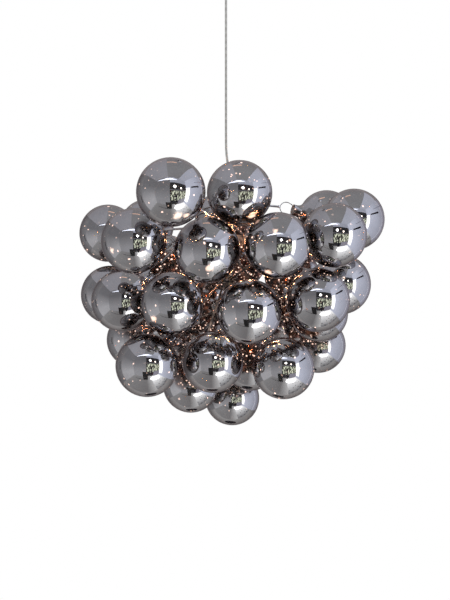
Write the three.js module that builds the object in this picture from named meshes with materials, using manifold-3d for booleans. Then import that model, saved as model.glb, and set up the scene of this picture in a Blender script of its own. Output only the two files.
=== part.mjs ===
// Pendant light: a bunch of mirrored glass balls round a chromed stem, hung on one cord.
// Millimetres, +Z up. The origin is the centre of the ceiling plate's upper face.
import * as THREE from 'three';
import { mergeVertices } from 'three/addons/utils/BufferGeometryUtils.js';
import Module from 'manifold-3d';

const wasm = await Module();
wasm.setup();

// Shared clearances
const seatGap = 0.3;
const cutOverrun = 1;

// Sides of round pieces, from the ceiling fitting down to pins and leads
const largeSides = 20;
const roundSides = 14;
const smallSides = 8;
const tinySides = 6;

// Corners nearer than this are one corner
const mergeDistance = 0.0001;

// Glass balls, blown with a short open neck
const ballRadius = 50;
const ballWall = 1.5;
const ballSides = 9;
const ballRings = 5;
const shoulderAngle = THREE.MathUtils.degToRad(160);
const neckRadius = 10.1;
const neckRoot = 4;
const neckMouth = 16;

// Ball places from the cluster's level on the stem's axis, in ball radii, and each ball's tier of arms.
// A ball that names no neck points it straight at its arm.
const ballShares = [
  { tier: 0, place: [0.32, -3.6, 3.26] },
  { tier: 1, place: [-1.68, -5.46, 3.1] },
  { tier: 0, place: [3.5, 2.1, 2.92], neck: [-0.93, -0.3, 0.2] },
  { tier: 0, place: [-3.04, 3.84, 2.76] },
  { tier: 2, place: [-0.2, 2.1, 2.88] },
  { tier: 1, place: [4.06, -1.36, 2.62] },
  { tier: 1, place: [-4.2, 1.22, 2.33] },
  { tier: 1, place: [2.3, 2.52, 0.86] },
  { tier: 2, place: [3.26, -3.14, 2] },
  { tier: 2, place: [-2.9, -3.6, 1.8] },
  { tier: 3, place: [1.46, -4.08, 1.64] },
  { tier: 2, place: [-0.66, -3.94, 1.5] },
  { tier: 2, place: [3.7, -0.74, 0.52] },
  { tier: 2, place: [-2.26, 2.1, 1.34] },
  { tier: 2, place: [0.38, 3.74, 1.4] },
  { tier: 4, place: [-0.7, 3.16, -0.22] },
  { tier: 2, place: [1.96, 4.1, -0.74] },
  { tier: 0, place: [-4.06, 0.56, 0.18] },
  { tier: 3, place: [2.76, -2.9, 0] },
  { tier: 0, place: [-3.46, -1.46, -0.03] },
  { tier: 2, place: [-1.79, -2.6, -0.11] },
  { tier: 3, place: [0.62, -3.48, -0.36] },
  { tier: 4, place: [3.14, 0.98, -0.46] },
  { tier: 4, place: [-3.4, 2.6, -1.44] },
  { tier: 4, place: [3.24, 2.62, -1.64] },
  { tier: 4, place: [-1.72, 3.78, -1.86] },
  { tier: 4, place: [-0.52, -1.34, -2.02] },
  { tier: 4, place: [1.76, -1.66, -2.2] },
  { tier: 3, place: [0.76, 2.04, -2.24] },
  { tier: 3, place: [-2.59, -2.3, -2.07] },
  { tier: 3, place: [-1.34, 2.08, -3.02] },
  { tier: 3, place: [0.14, 3.4, -3.62], neck: [0, 0, 1] },
];

// Stem: a chromed tube that carries everything below the cord
const stemLength = 218;
const stemRadius = 8;
const stemBore = 5.5;
const stemFloor = 3;
const clusterBelowStemTop = 196;
const leadHoleRadius = 2.2;

// Tiers of arms, each with its depth below the stem's top as a share of the stem's length
const tierDepthShares = [0.14, 0.326, 0.532, 0.739, 0.968];
const collarRadius = 14;
const collarHeight = 12;
const armRadius = 2;

// Wire bows that hold the balls by their necks
const wireRadius = 0.8;
const wireSides = 4;
const wireSteps = 10;
const bowLength = 25;
const bowSpread = 11;
const bowLegInNeck = 12;
const bowLegGap = 1;
// Each point beyond the mouth as a share of the bow's length and of its spread
const bowShares = [[0.3, 0.88], [0.52, 1], [0.8, 0.7], [1, 0]];
// A neck nearer to upright than this share has its bow turned along X
const steepShare = 0.9;

// Bulbs and their holders: depth below the stem's top as a share of its length, and bearing
const bulbPlaces = [
  { depthShare: 0.232, bearing: 315 },
  { depthShare: 0.232, bearing: 50 },
  { depthShare: 0.431, bearing: 270 },
  { depthShare: 0.431, bearing: 165 },
  { depthShare: 0.431, bearing: 30 },
  { depthShare: 0.853, bearing: 330 },
];
const holderWidth = 14;
const holderHeight = 16;
const holderReach = 30;
const holderRootShare = 0.95;
const pinSpacing = 9;
const pinRadius = 0.8;
const pinLength = 6;
const pinClearance = 0.4;
const bulbBaseRadius = 6.5;
const bulbBaseLength = 9;
const bulbRadius = 9;
const bulbLength = 40;

// Inner lead that feeds the holders through the stem
const leadRadius = 3.5;
const leadBranchRadius = 1.5;

// Suspension cord, with its route from below the upper grip down to the lower one
const cordRadius = 2;
const cordSteps = 27;
const cordRoute = [
  [0, 0, -68],
  [0, 0, -90],
  [0, 0, -115],
  [0, 0, -140],
  [0, 0, -165],
  [0, 0, -190],
  [0, 0, -215],
  [0, 0, -240],
  [0, 0, -265],
  [0, 0, -290],
  [0, 0, -310],
  [0.1, 0, -325],
  [0.4, 0, -337],
  [1.1, 0, -346],
  [2.1, 0, -354],
  [3.2, 0, -361],
  [4.1, 0, -367],
  [4.5, 0, -372],
];

// Lower cord grip, a tapered cap on the stem's top
const lowerGripLength = 22;
const lowerGripFlangeRadius = 9;
const lowerGripFlangeHeight = 4;
const lowerGripTipRadius = 3.4;
const lowerGripSpigot = 6;

// Ceiling plate with its hanging bridge
const plateRadius = 40;
const plateThickness = 2;
const slotSpacing = 56;
const slotRadius = 2.5;
const slotLength = 8;
const bridgeAboveCupFoot = 24;
const bridgeWidth = 16;
const bridgeSpan = 30;
const bridgeThickness = 2;

// Upper cord grip, which hangs by its head in the bridge
const upperGripHeadRadius = 9;
const upperGripHeadHeight = 6;
const upperGripNeckRadius = 6;
const upperGripBelowBridge = 12;

// Terminal block and the cord's tail that runs into it
const blockSize = [14, 22, 13];
const blockOffset = 29;
const blockScrewRadius = 2;
const blockScrewDepth = 4;
const blockScrewSpacing = 10;
const tailSteps = 7;
// The tail's bend as shares of its reach and of its rise
const tailShares = [[0, 0], [0, 0.3], [0.12, 0.66], [0.42, 0.92], [0.75, 1], [1, 1]];

// Ceiling cup, which slides down the cord, and the stop that holds it up
const cupRadius = 55;
const cupHeight = 64;
const cupWall = 1.2;
const cupCurveSteps = 5;
const cupSkirtShare = 0.16;
const cordClearance = 0.6;
const stopRadius = 7;
const stopHeight = 10;
const stopScrewRadius = 1.5;
const stopKnobRadius = 3.2;
const stopKnobLength = 4;

// Heights worked out from the sizes above
const cordEnd = new THREE.Vector3(...cordRoute[cordRoute.length - 1]);
const stemTop = cordEnd.z - 2 * seatGap - lowerGripLength;
const bridgeDrop = cupHeight - bridgeAboveCupFoot;
const bridgeTop = -plateThickness - bridgeDrop;
const upperGripFoot = bridgeTop - bridgeThickness - upperGripBelowBridge;
const cupBottom = -seatGap - cupHeight;
const collarBore = stemRadius + seatGap;
const collarMiddle = (collarBore + collarRadius) / 2;

function material(colour, roughness, metalness) {
  return new THREE.MeshStandardMaterial({ color: colour, roughness, metalness });
}

const finishes = {
  mirrorGlass: () => material(0x77777c, 0.05, 1),
  chrome: () => material(0xd2d4d8, 0.12, 1),
  zinc: () => material(0xb4b6b8, 0.45, 1),
  ceramic: () => material(0xe9e6df, 0.5, 0),
  nylon: () => material(0xe4e4e0, 0.55, 0),
  cord: () => material(0xc9c7c1, 0.4, 0),
  bulb: () => material(0xffd9a8, 0.15, 0),
};

// Solids for joining and cutting
function solid(geometry) {
  const bare = geometry.clone();
  bare.deleteAttribute('normal');
  bare.deleteAttribute('uv');
  const merged = mergeVertices(bare, mergeDistance);
  const corners = Array.from(merged.index.array);
  const kept = [];
  for (let i = 0; i < corners.length; i += 3) {
    const [a, b, c] = corners.slice(i, i + 3);
    if (a !== b && b !== c && c !== a) kept.push(a, b, c);
  }
  return new wasm.Manifold(new wasm.Mesh({
    numProp: 3,
    vertProperties: Float32Array.from(merged.attributes.position.array),
    triVerts: Uint32Array.from(kept),
  }));
}

function surface(body) {
  const mesh = body.getMesh();
  const geometry = new THREE.BufferGeometry();
  geometry.setAttribute('position', new THREE.BufferAttribute(Float32Array.from(mesh.vertProperties), 3));
  geometry.setIndex(Array.from(mesh.triVerts));
  geometry.computeVertexNormals();
  return geometry;
}

function joined(bodies) {
  return bodies.reduce((all, body) => all.add(body));
}

// Shapes that several pieces use
function turned(points, sides) {
  const profile = points.map(([x, y]) => new THREE.Vector2(x, y));
  return new THREE.LatheGeometry(profile, sides).rotateX(Math.PI / 2);
}

function roundSection(radius, sides) {
  const points = [];
  for (let i = 0; i < sides; i += 1) {
    const turn = (i / sides) * 2 * Math.PI;
    points.push(new THREE.Vector2(radius * Math.cos(turn), radius * Math.sin(turn)));
  }
  return new THREE.Shape(points);
}

function tube(points, radius, sides, steps) {
  const extrudePath = new THREE.CatmullRomCurve3(points);
  return new THREE.ExtrudeGeometry(roundSection(radius, sides), { extrudePath, steps });
}

function rod(from, to, radius, sides) {
  const along = new THREE.Vector3().subVectors(to, from);
  const geometry = new THREE.CylinderGeometry(radius, radius, along.length(), sides);
  const turn = new THREE.Quaternion().setFromUnitVectors(new THREE.Vector3(0, 1, 0), along.normalize());
  geometry.applyQuaternion(turn);
  const middle = new THREE.Vector3().addVectors(from, to).multiplyScalar(0.5);
  return geometry.translate(middle.x, middle.y, middle.z);
}

function box(width, depth, height, centre) {
  return new THREE.BoxGeometry(width, depth, height).translate(...centre);
}

function piece(name, geometry, finish) {
  const mesh = new THREE.Mesh(geometry, finish());
  mesh.name = name;
  return mesh;
}

// A point at a bearing round the stem's axis
function around(radius, turn, height) {
  return new THREE.Vector3(radius * Math.cos(turn), radius * Math.sin(turn), height);
}

// Where each ball, its neck and its arm lie, from the stem's top
function ballLayout({ tier, place, neck }) {
  const centre = new THREE.Vector3(...place).multiplyScalar(ballRadius);
  centre.z -= clusterBelowStemTop;
  const height = -tierDepthShares[tier] * stemLength;
  const reach = ballRadius + neckMouth + bowLength;
  let root = around(collarMiddle, Math.atan2(centre.y, centre.x), height);
  const towards = neck ? new THREE.Vector3(...neck) : new THREE.Vector3().subVectors(root, centre);
  towards.normalize();
  const bowEnd = centre.clone().addScaledVector(towards, reach);
  if (neck) root = around(collarMiddle, Math.atan2(bowEnd.y, bowEnd.x), height);
  return { centre, towards, bowEnd, root };
}

// A blown ball, its neck along +Z, open at the mouth
function ballGeometry() {
  const outer = [];
  const inner = [];
  for (let i = 0; i <= ballRings; i += 1) {
    const angle = (i / ballRings) * shoulderAngle;
    const shares = [Math.sin(angle), -Math.cos(angle)];
    if (i === 0) shares[0] = 0;
    outer.push(shares.map((share) => share * ballRadius));
    inner.unshift(shares.map((share) => share * (ballRadius - ballWall)));
  }
  const neckBore = neckRadius - ballWall;
  outer.push([neckRadius, ballRadius + neckRoot], [neckRadius, ballRadius + neckMouth]);
  inner.unshift([neckBore, ballRadius + neckMouth], [neckBore, ballRadius + neckRoot - ballWall / 2]);
  return turned([...outer, ...inner], ballSides);
}

function glassBalls() {
  return ballShares.map((ball, index) => {
    const { centre, towards } = ballLayout(ball);
    const name = `glass_ball_${String(index + 1).padStart(2, '0')}`;
    const mesh = piece(name, ballGeometry(), finishes.mirrorGlass);
    mesh.position.copy(centre);
    mesh.quaternion.setFromUnitVectors(new THREE.Vector3(0, 0, 1), towards);
    return mesh;
  });
}

// The wire bow between an arm's tip and the inside of a ball's neck
function bowGeometry({ centre, towards }) {
  const up = Math.abs(towards.z) > steepShare ? new THREE.Vector3(1, 0, 0) : new THREE.Vector3(0, 0, 1);
  const side = up.addScaledVector(towards, -up.dot(towards)).normalize();
  const mouth = ballRadius + neckMouth;
  const leg = neckRadius - ballWall - wireRadius - bowLegGap;
  const shape = [
    [mouth - bowLegInNeck, leg],
    [mouth, leg],
    ...bowShares.map(([along, across]) => [mouth + bowLength * along, bowSpread * across]),
  ];
  const halfBack = shape.slice(0, -1).reverse().map(([along, across]) => [along, -across]);
  const points = [...shape, ...halfBack].map(([along, across]) => (
    centre.clone().addScaledVector(towards, along).addScaledVector(side, across)));
  return tube(points, wireRadius, wireSides, wireSteps);
}

// A collar on the stem with the arms and bows of its balls
function armTier(depthShare, tier) {
  const height = -depthShare * stemLength;
  const half = collarHeight / 2;
  const collar = turned([
    [collarBore, height - half],
    [collarRadius, height - half],
    [collarRadius, height + half],
    [collarBore, height + half],
    [collarBore, height - half],
  ], roundSides);
  const bodies = [solid(collar)];
  for (const ball of ballShares.filter((entry) => entry.tier === tier)) {
    const layout = ballLayout(ball);
    bodies.push(solid(rod(layout.root, layout.bowEnd, armRadius, tinySides)));
    bodies.push(solid(bowGeometry(layout)));
  }
  return piece(`arm_tier_${tier + 1}`, surface(joined(bodies)), finishes.chrome);
}

// The stem, closed at its foot, with a side hole behind each holder
function stem() {
  const foot = -stemLength;
  const tubeBody = solid(turned([
    [0, foot],
    [stemRadius, foot],
    [stemRadius, 0],
    [stemBore, 0],
    [stemBore, foot + stemFloor],
    [0, foot + stemFloor],
  ], roundSides));
  const holes = bulbPlaces.map(({ depthShare, bearing }) => {
    const turn = THREE.MathUtils.degToRad(bearing);
    const height = -depthShare * stemLength;
    const outside = around(stemRadius + cutOverrun, turn, height);
    return solid(rod(around(0, turn, height), outside, leadHoleRadius, tinySides));
  });
  return piece('stem_tube', surface(tubeBody.subtract(joined(holes))), finishes.chrome);
}

// The lead inside the stem, with one branch to the back of each holder
function leadHarness() {
  const top = -lowerGripSpigot - 2 * seatGap;
  const lowest = -Math.max(...bulbPlaces.map(({ depthShare }) => depthShare)) * stemLength;
  const foot = lowest - 2 * leadBranchRadius;
  const bodies = [solid(rod(around(0, 0, top), around(0, 0, foot), leadRadius, tinySides))];
  for (const { depthShare, bearing } of bulbPlaces) {
    const turn = THREE.MathUtils.degToRad(bearing);
    const height = -depthShare * stemLength;
    const tip = around(stemRadius, turn, height);
    bodies.push(solid(rod(around(0, turn, height), tip, leadBranchRadius, tinySides)));
  }
  return piece('lead_harness', surface(joined(bodies)), finishes.nylon);
}

// The two pins of a bulb, from its base towards the stem, or the holes for them in its holder
function pinPair(radius, start, end) {
  const side = pinSpacing / 2;
  return [-side, side].map((y) => (
    solid(rod(new THREE.Vector3(start, y, 0), new THREE.Vector3(end, y, 0), radius, tinySides))));
}

// A ceramic holder, its back hollowed to the stem, its face flat with two pin holes
function holderGeometry() {
  const back = stemRadius * holderRootShare;
  const length = holderReach - back;
  const block = solid(box(length, holderWidth, holderHeight, [back + length / 2, 0, 0]));
  const cutReach = holderHeight / 2 + cutOverrun;
  const seat = solid(rod(
    new THREE.Vector3(0, 0, -cutReach),
    new THREE.Vector3(0, 0, cutReach),
    stemRadius + seatGap,
    roundSides,
  ));
  const holeDepth = pinLength + seatGap;
  const holes = pinPair(pinRadius + pinClearance, holderReach - holeDepth, holderReach + cutOverrun);
  return surface(block.subtract(seat).subtract(joined(holes)));
}

// A pin bulb: a plain base, a rounded glass capsule and two pins
function bulbGeometry() {
  const start = holderReach + seatGap;
  const shoulder = start + bulbBaseLength;
  const tip = shoulder + bulbLength;
  const domeStart = tip - bulbRadius;
  const half = bulbRadius * Math.SQRT1_2;
  const capsule = turned([
    [0, start],
    [bulbBaseRadius, start],
    [bulbBaseRadius, shoulder],
    [bulbRadius, shoulder + (bulbRadius - bulbBaseRadius)],
    [bulbRadius, domeStart],
    [half, domeStart + half],
    [0, tip],
  ], smallSides).rotateY(Math.PI / 2);
  const pins = pinPair(pinRadius, start - pinLength, start + bulbBaseLength / 2);
  return surface(joined([solid(capsule), ...pins]));
}

function bulbsAndHolders() {
  const pieces = [];
  bulbPlaces.forEach(({ depthShare, bearing }, index) => {
    const holder = piece(`bulb_holder_${index + 1}`, holderGeometry(), finishes.ceramic);
    const bulb = piece(`bulb_${index + 1}`, bulbGeometry(), finishes.bulb);
    for (const mesh of [holder, bulb]) {
      mesh.position.z = -depthShare * stemLength;
      mesh.rotation.z = THREE.MathUtils.degToRad(bearing);
      pieces.push(mesh);
    }
  });
  return pieces;
}

// The cord and its two grips
function suspensionCord() {
  const start = [0, 0, upperGripFoot - seatGap];
  const points = [start, ...cordRoute].map((point) => new THREE.Vector3(...point));
  return piece('suspension_cord', tube(points, cordRadius, smallSides, cordSteps), finishes.cord);
}

function lowerGrip() {
  const geometry = turned([
    [0, -seatGap - lowerGripSpigot],
    [stemBore - seatGap, -seatGap - lowerGripSpigot],
    [stemBore - seatGap, seatGap],
    [lowerGripFlangeRadius, seatGap],
    [lowerGripFlangeRadius, seatGap + lowerGripFlangeHeight],
    [lowerGripTipRadius, seatGap + lowerGripLength],
    [0, seatGap + lowerGripLength],
  ], roundSides);
  return piece('lower_cord_grip', geometry, finishes.chrome);
}

function upperGrip() {
  const seat = bridgeTop + seatGap;
  const geometry = turned([
    [0, upperGripFoot],
    [upperGripNeckRadius, upperGripFoot],
    [upperGripNeckRadius, seat],
    [upperGripHeadRadius, seat],
    [upperGripHeadRadius, seat + upperGripHeadHeight],
    [0, seat + upperGripHeadHeight],
  ], roundSides);
  return piece('upper_cord_grip', geometry, finishes.nylon);
}

// The ceiling plate: a round plate with two slots and a bridge that hangs below it
function slotCut(x) {
  const half = slotLength / 2;
  const ends = [-half, half].map((y) => solid(rod(
    new THREE.Vector3(x, y, -plateThickness - cutOverrun),
    new THREE.Vector3(x, y, cutOverrun),
    slotRadius,
    smallSides,
  )));
  const height = plateThickness + 2 * cutOverrun;
  const middle = solid(box(2 * slotRadius, slotLength, height, [x, 0, -plateThickness / 2]));
  return joined([...ends, middle]);
}

function ceilingPlate() {
  const disc = solid(turned([
    [0, -plateThickness],
    [plateRadius, -plateThickness],
    [plateRadius, 0],
    [0, 0],
  ], largeSides));
  const legHeight = bridgeDrop + bridgeThickness + plateThickness / 2;
  const legMiddle = -plateThickness / 2 - legHeight / 2;
  const legOffset = bridgeSpan / 2 - bridgeThickness / 2;
  const legs = [-legOffset, legOffset].map((y) => (
    solid(box(bridgeWidth, bridgeThickness, legHeight, [0, y, legMiddle]))));
  const webMiddle = bridgeTop - bridgeThickness / 2;
  const web = solid(box(bridgeWidth, bridgeSpan, bridgeThickness, [0, 0, webMiddle]));
  const hole = solid(rod(
    new THREE.Vector3(0, 0, bridgeTop + cutOverrun),
    new THREE.Vector3(0, 0, bridgeTop - bridgeThickness - cutOverrun),
    upperGripNeckRadius + seatGap,
    roundSides,
  ));
  const slots = [-slotSpacing / 2, slotSpacing / 2].map(slotCut);
  const body = joined([disc, ...legs, web]).subtract(joined([hole, ...slots]));
  return piece('ceiling_plate', surface(body), finishes.zinc);
}

// The terminal block under the plate, with its two clamp screw wells, and the cord's tail
function terminalBlock() {
  const [width, depth, height] = blockSize;
  const top = -plateThickness - seatGap;
  const block = solid(box(width, depth, height, [blockOffset, 0, top - height / 2]));
  const foot = top - height;
  const wells = [-blockScrewSpacing / 2, blockScrewSpacing / 2].map((y) => solid(rod(
    new THREE.Vector3(blockOffset, y, foot + blockScrewDepth),
    new THREE.Vector3(blockOffset, y, foot - cutOverrun),
    blockScrewRadius,
    tinySides,
  )));
  return piece('terminal_block', surface(block.subtract(joined(wells))), finishes.nylon);
}

function cordTail() {
  const [width, , height] = blockSize;
  const start = bridgeTop + upperGripHeadHeight + 2 * seatGap;
  const end = blockOffset - width / 2 - seatGap;
  const level = -plateThickness - seatGap - height / 2;
  const rise = level - start;
  const points = tailShares.map(([outward, upward]) => (
    new THREE.Vector3(end * outward, 0, start + rise * upward)));
  return piece('cord_tail', tube(points, cordRadius, smallSides, tailSteps), finishes.cord);
}

// The ceiling cup: a straight skirt, then a quarter ellipse down to the cord's hole
function cupGeometry() {
  const skirt = cupHeight * cupSkirtShare;
  const drop = cupHeight - skirt;
  const hole = cordRadius + cordClearance;
  const outer = [[cupRadius, -seatGap]];
  const inner = [[cupRadius - cupWall, -seatGap]];
  for (let i = 0; i < cupCurveSteps; i += 1) {
    const angle = (i / cupCurveSteps) * (Math.PI / 2);
    const outward = Math.cos(angle);
    const downward = Math.sin(angle);
    outer.push([cupRadius * outward, -seatGap - skirt - drop * downward]);
    inner.push([(cupRadius - cupWall) * outward, -seatGap - skirt - (drop - cupWall) * downward]);
  }
  outer.push([hole, cupBottom]);
  inner.push([hole, cupBottom + cupWall]);
  const profile = [...inner, ...outer.reverse(), inner[0]];
  return turned(profile, largeSides);
}

// The stop: a collar on the cord under the cup, clamped by a small knurled screw
function cordStop() {
  const top = cupBottom - seatGap;
  const ring = solid(turned([
    [cordRadius + seatGap, top - stopHeight],
    [stopRadius, top - stopHeight],
    [stopRadius, top],
    [cordRadius + seatGap, top],
    [cordRadius + seatGap, top - stopHeight],
  ], roundSides));
  const height = top - stopHeight / 2;
  const hole = solid(rod(
    new THREE.Vector3(0, 0, height),
    new THREE.Vector3(0, -stopRadius - cutOverrun, height),
    stopScrewRadius + seatGap,
    tinySides,
  ));
  return piece('cord_stop', surface(ring.subtract(hole)), finishes.chrome);
}

function stopScrew() {
  const height = cupBottom - seatGap - stopHeight / 2;
  const start = cordRadius + 2 * seatGap;
  const headStart = stopRadius + seatGap;
  const geometry = turned([
    [0, start],
    [stopScrewRadius, start],
    [stopScrewRadius, headStart],
    [stopKnobRadius, headStart],
    [stopKnobRadius, headStart + stopKnobLength],
    [0, headStart + stopKnobLength],
  ], smallSides).rotateX(Math.PI / 2).translate(0, 0, height);
  return piece('stop_screw', geometry, finishes.chrome);
}

const lamp = new THREE.Group();
lamp.position.set(cordEnd.x, cordEnd.y, stemTop);
lamp.add(lowerGrip(), stem(), leadHarness());
lamp.add(...tierDepthShares.map(armTier), ...bulbsAndHolders(), ...glassBalls());

const group = new THREE.Group();
group.add(ceilingPlate(), upperGrip(), terminalBlock(), cordTail());
group.add(piece('ceiling_cup', cupGeometry(), finishes.chrome), cordStop(), stopScrew());
group.add(suspensionCord(), lamp);

export default group;
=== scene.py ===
"""Pendant light: a bunch of smoke-mirrored glass balls round a chromed stem, hung on one thin cord."""
import math

import bpy
from mathutils import Matrix, Vector


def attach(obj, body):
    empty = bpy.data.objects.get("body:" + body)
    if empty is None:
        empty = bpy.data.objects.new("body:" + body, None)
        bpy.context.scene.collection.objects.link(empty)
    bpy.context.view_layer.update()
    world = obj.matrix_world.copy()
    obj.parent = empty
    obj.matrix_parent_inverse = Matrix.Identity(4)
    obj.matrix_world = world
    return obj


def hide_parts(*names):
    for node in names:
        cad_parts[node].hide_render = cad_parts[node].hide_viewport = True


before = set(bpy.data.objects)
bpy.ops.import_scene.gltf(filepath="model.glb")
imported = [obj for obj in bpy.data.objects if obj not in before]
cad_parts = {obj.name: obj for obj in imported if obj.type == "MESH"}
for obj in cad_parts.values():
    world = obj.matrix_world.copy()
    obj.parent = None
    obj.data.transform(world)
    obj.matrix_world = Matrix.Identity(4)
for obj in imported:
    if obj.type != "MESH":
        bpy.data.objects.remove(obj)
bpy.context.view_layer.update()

CAMERA_PLACE = (-0.0017, -1.83, -0.5906)
CAMERA_LENS = 65
CAMERA_SENSOR = 36

# Sizes shared with the solids, in metres
BALL_RADIUS = 0.050
GLASS_WALL = 0.0015
NECK_MOUTH = 0.016
STEM_LENGTH = 0.218
STEM_TOP = Vector((0.0045, 0.0, -0.3946))
CLUSTER_LEVEL = STEM_TOP + Vector((0.0, 0.0, -0.196))
TIER_DEPTHS = (0.14, 0.326, 0.532, 0.739, 0.968)
COLLAR_RADIUS = 0.014
COLLAR_BORE = 0.0083
COLLAR_HEIGHT = 0.012
BOW_LENGTH = 0.025
BOW_SPREAD = 0.011
BOW_LEG = 0.0068
ARM_RADIUS = 0.002
ARM_END = 0.004
WIRE_RADIUS = 0.0008
CORD_RADIUS = 0.002
CUP_RADIUS = 0.055
CUP_TOP = -0.0003
CUP_FOOT = -0.0643
CUP_WALL = 0.0012
BULB_START = 0.0303  # how far a bulb's base stands from the stem's axis
PIN_SIDE = 0.0045  # how far each pin stands beside the bulb's axis
SLOT_REACH = 0.004  # how far a slot's round ends stand from its middle
SLOT_RADIUS = 0.0025
TERMINAL_LINE = 0.029  # where the two terminals stand along X, and how far each stands to its side
TERMINAL_SIDE = 0.005

# Details that only this model has
COIL_TURNS = 9
COIL_RADIUS = 0.0016
CUP_STEPS = 20  # steps of the cup's dome from its skirt to its foot
SCREW_FLUTES = 18
BALL_SPIN = 0.7  # how far each next ball is turned about its neck, in radians
SHELTER_REACH = 1.7  # how far beside its middle a ball still shelters what it stands before, in ball radii

# How far apart two points may be and still count as one, and how far off a ring a point of it may lie
SAME_POINT = 1e-6
ON_RING = 1e-5

# A ring can't be drawn from nothing or down to nothing: the least radius at its start, and after that
NARROWEST_START = 0.0005
NARROWEST_RING = 0.00001

# Each ball's tier of arms and its place from the cluster's level, in ball radii
BALLS = (
    (1, 0.32, -3.6, 3.26), (2, -1.68, -5.46, 3.1), (1, 3.5, 2.1, 2.92), (1, -3.04, 3.84, 2.76),
    (3, -0.2, 2.1, 2.88), (2, 4.06, -1.36, 2.62), (2, -4.2, 1.22, 2.33), (2, 2.3, 2.52, 0.86),
    (3, 3.26, -3.14, 2), (3, -2.9, -3.6, 1.8), (4, 1.46, -4.08, 1.64), (3, -0.66, -3.94, 1.5),
    (3, 3.7, -0.74, 0.52), (3, -2.26, 2.1, 1.34), (3, 0.38, 3.74, 1.4), (5, -0.7, 3.16, -0.22),
    (3, 1.96, 4.1, -0.74), (1, -4.06, 0.56, 0.18), (4, 2.76, -2.9, 0), (1, -3.46, -1.46, -0.03),
    (3, -1.79, -2.6, -0.11), (4, 0.62, -3.48, -0.36), (5, 3.14, 0.98, -0.46), (5, -3.4, 2.6, -1.44),
    (5, 3.24, 2.62, -1.64), (5, -1.72, 3.78, -1.86), (5, -0.52, -1.34, -2.02), (5, 1.76, -1.66, -2.2),
    (4, 0.76, 2.04, -2.24), (4, -2.59, -2.3, -2.07), (4, -1.34, 2.08, -3.02), (4, 0.14, 3.4, -3.62),
)

# Where the necks point that aren't turned to their arm's root, by the number of the ball
TURNED_NECKS = {3: (-0.93, -0.3, 0.2), 32: (0, 0, 1)}

# Each bulb's depth below the stem's top, as a share of its length, and its bearing in degrees
BULBS = ((0.232, 315), (0.232, 50), (0.431, 270), (0.431, 165), (0.431, 30), (0.853, 330))

# The bunch's middle, round which its inner faces are painted with warm reflected light
BUNCH_MIDDLE = (0.0045, 0.0, -0.56)

# Painted glows where a bulb shows through the glass: each glow's place and radius, and how far noise pulls it out of
# round
PAINTED_BULB_GLOWS = (
    ((-0.068, -0.306, -0.4725), 0.0085), ((-0.057, -0.299, -0.4705), 0.006), ((0.039, -0.208, -0.4645), 0.008),
    ((0.062, -0.2286, -0.5492), 0.007), ((-0.0237, -0.2382, -0.5436), 0.0075), ((0.071, -0.2505, -0.489), 0.005),
    ((-0.112, -0.165, -0.6196), 0.007), ((-0.172, -0.219, -0.518), 0.006),
)
GLOW_PULL = 0.009

# How brightly the bulbs' glass and their coils shine
BULB_GLOW = 4
COIL_GLOW = 160

# The floor that all can see, and the light that the white world gives, as a share of how bright it looks
FLOOR_LEVEL = -1.75
FLOOR_SIDE = 4.0
WORLD_LIGHT = 0.7

# The room that the glass mirrors: how bright it is, and where its floor, ceiling and front wall stand
ROOM_GLOW = 1.45
ROOM_FLOOR = -1.74
ROOM_CEILING = 0.62
ROOM_FRONT = -1.5

# Dark specks on the reflected floor: each one's place and half width
FLOOR_SPECKS = (
    (0.95, -0.6, 0.05), (1.1, -0.45, 0.04), (0.8, -0.4, 0.04), (1.2, -0.2, 0.06), (0.9, -0.1, 0.05),
    (0.6, -0.25, 0.04), (1.05, 0.1, 0.07), (0.75, 0.2, 0.05), (1.3, 0.15, 0.05), (0.5, 0.15, 0.05),
    (0.7, -0.65, 0.03), (1.25, -0.55, 0.04), (0.35, -0.1, 0.04),
)

# The cord's route from the lower grip up to the upper grip
CORD_ROUTE = tuple((across, 0, level) for across, level in (
    (0.0045, -0.372), (0.0041, -0.367), (0.0032, -0.361), (0.0021, -0.354), (0.0011, -0.346), (0.0004, -0.337),
    (0.0001, -0.325), (0, -0.31), (0, -0.29), (0, -0.265), (0, -0.24), (0, -0.215), (0, -0.19), (0, -0.165),
    (0, -0.14), (0, -0.115), (0, -0.09), (0, -0.068), (0, -0.0563),
))


# Camera

def add_camera():
    data = bpy.data.cameras.new("camera")
    data.lens = CAMERA_LENS
    data.sensor_width = CAMERA_SENSOR
    camera = bpy.data.objects.new("camera", data)
    camera.location = CAMERA_PLACE
    camera.rotation_euler = (math.radians(90), 0, 0)
    bpy.context.collection.objects.link(camera)
    bpy.context.scene.camera = camera


# Working by hand: selecting, adding and finishing pieces

def deselect():
    if bpy.context.object and bpy.context.object.mode != "OBJECT":
        bpy.ops.object.mode_set(mode="OBJECT")
    bpy.ops.object.select_all(action="DESELECT")


def take_up(piece):
    deselect()
    piece.select_set(True)
    bpy.context.view_layer.objects.active = piece


def just_added(name):
    piece = bpy.context.object
    piece.name = name
    piece.data.name = name
    return piece


def place_in_mesh(piece):
    take_up(piece)
    bpy.ops.object.transform_apply(location=True, rotation=True, scale=True)


def apply_modifiers(piece):
    take_up(piece)
    for modifier in list(piece.modifiers):
        bpy.ops.object.modifier_apply(modifier=modifier.name)


def bevel_edges(piece, width, angle=35):
    bevel = piece.modifiers.new("bevel", "BEVEL")
    bevel.width = width
    bevel.segments = 2
    bevel.limit_method = "ANGLE"
    bevel.angle_limit = math.radians(angle)
    apply_modifiers(piece)


def smooth(piece, angle):
    take_up(piece)
    bpy.ops.object.shade_smooth_by_angle(angle=math.radians(angle))


def join_into(name, pieces):
    deselect()
    for piece in pieces:
        piece.select_set(True)
    bpy.context.view_layer.objects.active = pieces[0]
    bpy.ops.object.join()
    return just_added(name)


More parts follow.
